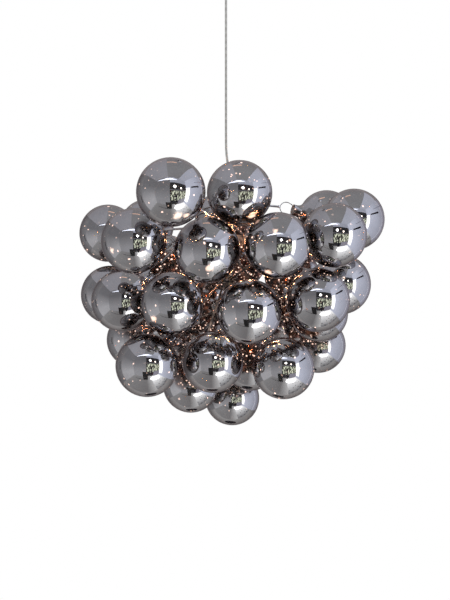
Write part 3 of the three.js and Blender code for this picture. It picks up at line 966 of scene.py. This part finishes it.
def make_cup(chrome):
    """A domed cup, open upwards, with a straight skirt at its rim and a small hole for the cord at its foot."""
    skirt = (CUP_TOP - CUP_FOOT) * 0.16
    drop = CUP_TOP - CUP_FOOT - skirt
    outer, inner = [(CUP_RADIUS, CUP_TOP)], [(CUP_RADIUS - CUP_WALL, CUP_TOP)]
    for step in range(CUP_STEPS - 1):
        angle = step / CUP_STEPS * math.pi / 2
        outer.append((CUP_RADIUS * math.cos(angle), CUP_TOP - skirt - drop * math.sin(angle)))
        inner.append(((CUP_RADIUS - CUP_WALL) * math.cos(angle),
                      CUP_TOP - skirt - (drop - CUP_WALL) * math.sin(angle)))
    outer += [(0.0031, CUP_FOOT), (0.0026, CUP_FOOT + 0.0004)]
    inner += [(0.0031, CUP_FOOT + CUP_WALL), (0.0026, CUP_FOOT + CUP_WALL - 0.0004)]
    finish_piece(closed_ring("cup", inner + outer[::-1], 72), chrome, 35, "cup", "chrome", "ceiling_cup")


def make_stop(chrome):
    """The ring that holds the cup up, and its screw with a fluted head."""
    ring = closed_ring("stop_ring", [(radius, CUP_FOOT - 0.0003 + height) for radius, height in (
        (0.0023, -0.010), (0.0023, 0), (0.0062, 0), (0.0070, -0.0008), (0.0070, -0.0024), (0.0067, -0.0027),
        (0.0067, -0.0073), (0.0070, -0.0076), (0.0070, -0.0092), (0.0062, -0.010),
    )], 40)
    level = CUP_FOOT - 0.0053
    cut(ring, straight_rod("screw_hole", (0, -0.001, level), (0, -0.009, level), 0.0018))
    finish_piece(ring, chrome, 35, "cup", "chrome", "cord_stop")
    screw = drawn_ring("thumb_screw", [
        (0, 0.0026), (0.0012, 0.0026), (0.0015, 0.0029), (0.0015, 0.0073), (0.0029, 0.0073), (0.0032, 0.0076),
        (0.0032, 0.0110), (0.0029, 0.0113), (0, 0.0113),
    ], SCREW_FLUTES * 2)
    edit_all(screw)
    bpy.ops.mesh.select_mode(type="FACE")
    bpy.ops.mesh.select_all(action="DESELECT")
    bpy.ops.object.mode_set(mode="OBJECT")
    for face in screw.data.polygons:
        rim = math.hypot(*face.center.xy) > 0.0031 and 0.0080 < face.center.z < 0.0106
        turn = math.atan2(face.center.y, face.center.x) / (2 * math.pi)
        face.select = rim and math.floor(turn * SCREW_FLUTES * 2 + 0.001) % 2 == 0
    bpy.ops.object.mode_set(mode="EDIT")
    bpy.ops.mesh.inset(thickness=0.0001, depth=-0.00025)
    bpy.ops.object.mode_set(mode="OBJECT")
    screw.data.transform(Matrix.Translation((0, 0, level)) @ Matrix.Rotation(math.radians(90), 4, "X"))
    finish_piece(screw, chrome, 30, "cup", "chrome", "stop_screw")


def make_ceiling_plate(zinc):
    disc = drawn_ring("fixing_plate", [
        (0, -0.002), (0.0392, -0.002), (0.0400, -0.0014), (0.0400, -0.0006), (0.0394, 0.0), (0, 0.0),
    ], 64)
    tools = []
    for x in (-0.028, 0.028):
        for y in (-SLOT_REACH, SLOT_REACH):
            tools.append(straight_rod("slot_end", (x, y, -0.004), (x, y, 0.002), SLOT_RADIUS, 24))
        low, high = (x - SLOT_RADIUS, -SLOT_REACH, -0.004), (x + SLOT_RADIUS, SLOT_REACH, 0.002)
        tools.append(block("slot_middle", low, high, 0.0001))
    cut(disc, *tools)
    bridge = block("bridge", (-0.008, -0.015, -0.044), (0.008, 0.015, -0.001), 0.0014)
    cut(bridge, block("bridge_inside", (-0.010, -0.013, -0.042), (0.010, 0.013, 0.004), 0.0012),
        straight_rod("grip_hole", (0, 0, -0.040), (0, 0, -0.046), 0.0063, 40))
    finish_piece(join_into("fixing_plate", [disc, bridge]), zinc, 35, "ceiling", "zinc", "ceiling_plate")


def make_upper_grip(nylon):
    grip = drawn_ring("hanging_grip", [
        (0, -0.0560), (0.0052, -0.0560), (0.0060, -0.0553), (0.0060, -0.0417), (0.0086, -0.0417),
        (0.0090, -0.0413), (0.0090, -0.0365), (0.0082, -0.0357), (0, -0.0357),
    ], 40)
    finish_piece(grip, nylon, 35, "ceiling", "nylon", "upper_cord_grip")
    return grip


def make_terminal_block(nylon, brass):
    body = block("terminals", (0.022, -0.011, -0.0153), (0.036, 0.011, -0.0023), 0.0010)
    paint(body, nylon)
    wells, screws = [], []
    for y in (-TERMINAL_SIDE, TERMINAL_SIDE):
        mouth = (TERMINAL_LINE, y, -0.0110)
        wells.append(straight_rod("screw_well", mouth, (TERMINAL_LINE, y, -0.0170), 0.0020, 24))
        screw = straight_rod("clamp_screw", mouth, (TERMINAL_LINE, y, -0.0122), 0.0017, 24)
        paint(screw, brass)
        screws.append(screw)
    cut(body, *wells, block("waist", (0.020, -0.0008, -0.0170), (0.038, 0.0008, -0.0135), 0.0003))
    terminals = join_into("terminals", [body] + screws)
    smooth(terminals, 35)
    settle(terminals, "ceiling", "nylon", "terminal_block")


def make_cord_tail(jacket):
    """The cord above its grip: up out of it, then bent over to the terminal block."""
    start, end, level = -0.0354, 0.0217, -0.0088
    shares = ((0, 0), (0, 0.16), (0, 0.3), (0.12, 0.66), (0.42, 0.92), (0.75, 1), (0.88, 1), (1, 1))
    points = [(end * outward, 0, start + (level - start) * upward) for outward, upward in shares]
    finish_piece(bent_wire("tail", points, CORD_RADIUS, 8, 20), jacket, 50, "ceiling", "cord", "cord_tail")


def dress_lead(nylon):
    """The lead inside the stem keeps its own solid and gets the moulded finish."""
    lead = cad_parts["lead_harness"]
    for number in range(len(lead.material_slots)):
        lead.material_slots[number].material = nylon


# Studio: a pale floor that all can see, and cards that only show as reflections

def add_floor(material):
    deselect()
    bpy.ops.mesh.primitive_plane_add(size=FLOOR_SIDE, location=(0, 0, FLOOR_LEVEL))
    floor = just_added("floor")
    paint(floor, material)


def graded(axis, start, end, low, high):
    """A card's colour that runs from low to high along X, Y or Z between two places."""
    def draw(tree):
        along = tree.node("ShaderNodeSeparateXYZ", {"Vector": tree.place()}).outputs[axis]
        return tree.ramp(tree.share_of_way(along, start, end), low, high, 0.0, 1.0)
    return draw


def leafy(tree):
    """A card's colour with patches of a sunlit garden's leaves."""
    return tree.ramp(tree.noise(9.0, 4, (1, 1, 0.6)), (0.05, 0.05, 0.045), (1.5, 1.58, 1.2), 0.45, 0.62)


def card_material(name, colour):
    """A light of one colour, or of the colour that a function draws."""
    material = bpy.data.materials.new(name)
    material.use_nodes = True
    tree = NodeTree(material.node_tree)
    tree.nodes.clear()
    shown = colour(tree) if callable(colour) else (*colour, 1)
    glow = tree.node("ShaderNodeEmission", {"Color": shown, "Strength": ROOM_GLOW})
    tree.node("ShaderNodeOutputMaterial", {"Surface": glow.outputs["Emission"]})
    material.cycles.emission_sampling = "NONE"
    return material


def add_card(name, centre, across, up, colour, is_round=False):
    """A flat card, square or round, with its middle at centre and the two half sides across and up."""
    deselect()
    if is_round:
        bpy.ops.mesh.primitive_circle_add(vertices=24, radius=1, fill_type="NGON")
    else:
        bpy.ops.mesh.primitive_plane_add(size=2)
    card = just_added(name)
    across, up = Vector(across), Vector(up)
    turn = Matrix((across, up, across.cross(up).normalized())).transposed().to_4x4()
    card.data.transform(Matrix.Translation(centre) @ turn)
    paint(card, card_material(name, colour))
    for ray in ("camera", "diffuse", "transmission", "volume_scatter", "shadow"):
        setattr(card, f"visible_{ray}", False)


def add_cards():
    """Each card's name, middle, half side across, half side up and colour."""
    middle, half = (ROOM_FLOOR + ROOM_CEILING) / 2, (ROOM_CEILING - ROOM_FLOOR) / 2
    high, low, over_floor, front = ROOM_CEILING, ROOM_FLOOR, ROOM_FLOOR + 0.01, ROOM_FRONT
    upright, black = (0, 0, half), (0.02, 0.02, 0.025)
    for card in (
        ("wall_front_left", (-0.82, front, middle), (0.72, 0, 0), upright,
         graded("Z", -1.1, -0.1, (0.48, 0.48, 0.5), (0.26, 0.26, 0.275))),
        ("wall_left_near", (-1.55, -0.7, middle), (0, 0.85, 0), upright,
         graded("Z", -1.1, -0.1, (0.66, 0.66, 0.68), (0.27, 0.27, 0.285))),
        ("wall_left_far", (-1.56, 1.2, middle), (0, 1.05, 0), upright,
         graded("Y", 0.15, 2.0, (0.32, 0.32, 0.33), (0.16, 0.16, 0.17))),
        ("wall_right", (1.5, 0.35, middle), (0, 1.85, 0), upright,
         graded("Y", -0.9, 1.6, (0.94, 0.99, 1.16), (0.4, 0.42, 0.5))),
        ("wall_back", (0, 2.2, middle), (1.56, 0, 0), upright, (0.2, 0.2, 0.21)),
        ("ceiling_left", (-0.9, -0.3, high), (0.66, 0, 0), (0, 1.2, 0), (0.48, 0.48, 0.52)),
        ("ceiling_middle", (0.23, -0.3, high), (0.47, 0, 0), (0, 1.2, 0), (0.37, 0.37, 0.38)),
        ("ceiling_right", (1.12, -0.3, high), (0.42, 0, 0), (0, 1.2, 0), (0.7, 0.73, 0.84)),
        ("ceiling_back", (0, 1.55, high), (1.56, 0, 0), (0, 0.65, 0), (0.4, 0.4, 0.41)),
        ("ceiling_glow", (-0.06, 0.1, high - 0.02), (0.16, 0, 0), (0, 0.05, 0), (1.3, 0.85, 0.66)),
        ("wall_front_upper", (0.7, front + 0.01, 0.37), (0.8, 0, 0), (0, 0, 0.25), (0.6, 0.63, 0.74)),
        ("window_dark", (0.7, front + 0.02, -0.74), (0.8, 0, 0), (0, 0, 0.88), (0.045, 0.045, 0.05)),
        ("window_leaves", (0.7, front + 0.04, -0.84), (0.74, 0, 0), (0, 0, 0.38), leafy),
        ("window_beam", (0.7, front + 0.05, -0.4), (0.78, 0, 0), (0, 0, 0.015), (0.4, 0.4, 0.44)),
        ("window_sill", (1.02, front + 0.05, -1.42), (0.42, 0, 0), (0, 0, 0.26), (0.42, 0.41, 0.48)),
        ("window_side", (1.48, -1.2, -0.8), (0, 0.25, 0), (0, 0, 0.66), (3.0, 3.0, 2.95)),
        ("stand_post", (0.38, front + 0.1, -1.2), (0.06, 0, 0), (0, 0, 0.5), (0.02, 0.02, 0.03)),
        ("stand_case", (-0.16, -1.0, -1.36), (0.16, 0, 0), (0, 0, 0.36), (0.03, 0.03, 0.03)),
        ("wall_rail_right", (1.47, -0.3, -0.1), (0, 0.5, 0.02), (0, 0, 0.05), black),
        ("wall_joint_high", (1.47, 0.9, 0.2), (0, 1.2, 0), (0, 0, 0.015), (0.25, 0.26, 0.32)),
        ("wall_joint_far", (1.47, 0.75, middle), (0, 0.02, 0), upright, (1.5, 1.56, 1.75)),
        ("wall_rail_left", (-1.53, 0.4, -0.72), (0, 0.05, 0), (0, 0, 0.2), black),
        ("floor_left", (-0.83, -0.6, low), (0.73, 0, 0), (0, 0.9, 0),
         graded("X", -1.5, -0.1, (0.42, 0.42, 0.42), (0.31, 0.3, 0.3))),
        ("floor_step", (0.1, -0.6, low), (0.2, 0, 0), (0, 0.9, 0),
         graded("X", -0.1, 0.3, (0.31, 0.3, 0.3), (0.85, 0.85, 0.84))),
        ("floor_right", (0.93, -0.6, low), (0.63, 0, 0), (0, 0.9, 0),
         graded("Y", -1.2, 0.15, (2.1, 2.12, 2.1), (0.38, 0.38, 0.39))),
        ("floor_back", (0, 1.25, low), (1.56, 0, 0), (0, 0.95, 0),
         graded("Y", 0.3, 1.6, (0.5, 0.49, 0.48), (0.2, 0.2, 0.2))),
        ("floor_line", (-0.72, -1.05, over_floor), (0.42, 0.03, 0), (0, 0.02, 0), black),
    ):
        add_card(*card)
    for disc in (
        ("strip_light", (-0.35, front + 0.06, 0.41), (0.85, 0, 0), (0, 0, 0.05), (3.0, 3.15, 3.6)),
        ("strip_light_middle", (-0.2, front + 0.07, 0.42), (0.42, 0, 0.03), (0, 0, 0.085), (3, 3.15, 3.6)),
        ("strip_glow", (0.0, front + 0.05, 0.5), (0.5, 0, 0), (0, 0, 0.14), (0.8, 0.84, 0.98)),
        ("window_lamp_left", (0.26, front + 0.06, -0.17), (0.1, 0, 0), (0, 0, 0.1), (9.0, 8.82, 8.46)),
        ("window_lamp_right", (0.78, front + 0.06, -0.26), (0.07, 0, 0), (0, 0, 0.07), (7.0, 6.16, 5.32)),
        ("floor_glare", (0.72, -1.05, over_floor), (0.52, 0, 0), (0, 0.27, 0), (3.2, 3.2, 3.15)),
        ("floor_mark", (-0.05, 0.72, over_floor), (0.22, 0, 0), (0, 0.28, 0), black),
    ):
        add_card(*disc, is_round=True)
    for number, (x, y, across) in enumerate(FLOOR_SPECKS, 1):
        add_card(f"floor_speck_{number}", (x, y, over_floor), (across, 0, 0), (0, across * 0.7, 0), black, True)


def add_world():
    """A world that is white where it is seen, also in mirrors and through glass, and gives less light than that."""
    world = bpy.data.worlds.new("studio")
    bpy.context.scene.world = world
    world.use_nodes = True
    tree = NodeTree(world.node_tree)
    path = tree.node("ShaderNodeLightPath").outputs
    seen = tree.maths("MAXIMUM", path["Is Camera Ray"], path["Is Glossy Ray"])
    seen_through = tree.maths("MAXIMUM", seen, path["Is Transmission Ray"])
    strength = tree.node("ShaderNodeMapRange", {"Value": seen_through, "To Min": WORLD_LIGHT, "To Max": 1.0})
    background = tree.nodes["Background"]
    tree.feed(background.inputs["Color"], (1, 1, 1, 1))
    tree.feed(background.inputs["Strength"], strength.outputs["Result"])


def add_lamps():
    """Two soft lamps aimed at the bunch, which the glass doesn't mirror."""
    for name, place, size, power in (
        ("soft_left", (-1.6, -1.8, 0.6), 1.4, 16),
        ("soft_right", (1.9, -0.8, 0.2), 1.2, 8),
    ):
        data = bpy.data.lights.new(name, "AREA")
        data.size = size
        data.energy = power
        lamp = bpy.data.objects.new(name, data)
        lamp.location = place
        aim = Vector((0, 0, -0.5)) - Vector(place)
        lamp.rotation_euler = aim.to_track_quat("-Z", "Y").to_euler()
        lamp.visible_glossy = False
        bpy.context.collection.objects.link(lamp)


def set_up_render():
    scene = bpy.context.scene
    scene.view_settings.view_transform = "Standard"
    scene.cycles.max_bounces = 16
    scene.cycles.glossy_bounces = 14
    scene.cycles.transparent_max_bounces = 40


add_camera()
handling_marks()
near_middle()
chrome = polished_chrome()
nylon = moulded_nylon()
ceramic = unglazed_ceramic()
jacket = cord_jacket()
brass = brass_pin()
make_cord(jacket, make_upper_grip(nylon))
make_balls(smoke_mirror(), copper_lining())
make_tiers(chrome)
make_stem(chrome)
make_lower_grip(chrome)
make_bulbs_and_holders(ceramic, bulb_glass(), glowing_coil(), brass)
make_cup(chrome)
make_stop(chrome)
make_ceiling_plate(zinc_plate())
make_terminal_block(nylon, brass)
make_cord_tail(jacket)
dress_lead(nylon)
add_floor(pale_floor())
add_cards()
add_world()
add_lamps()
set_up_render()
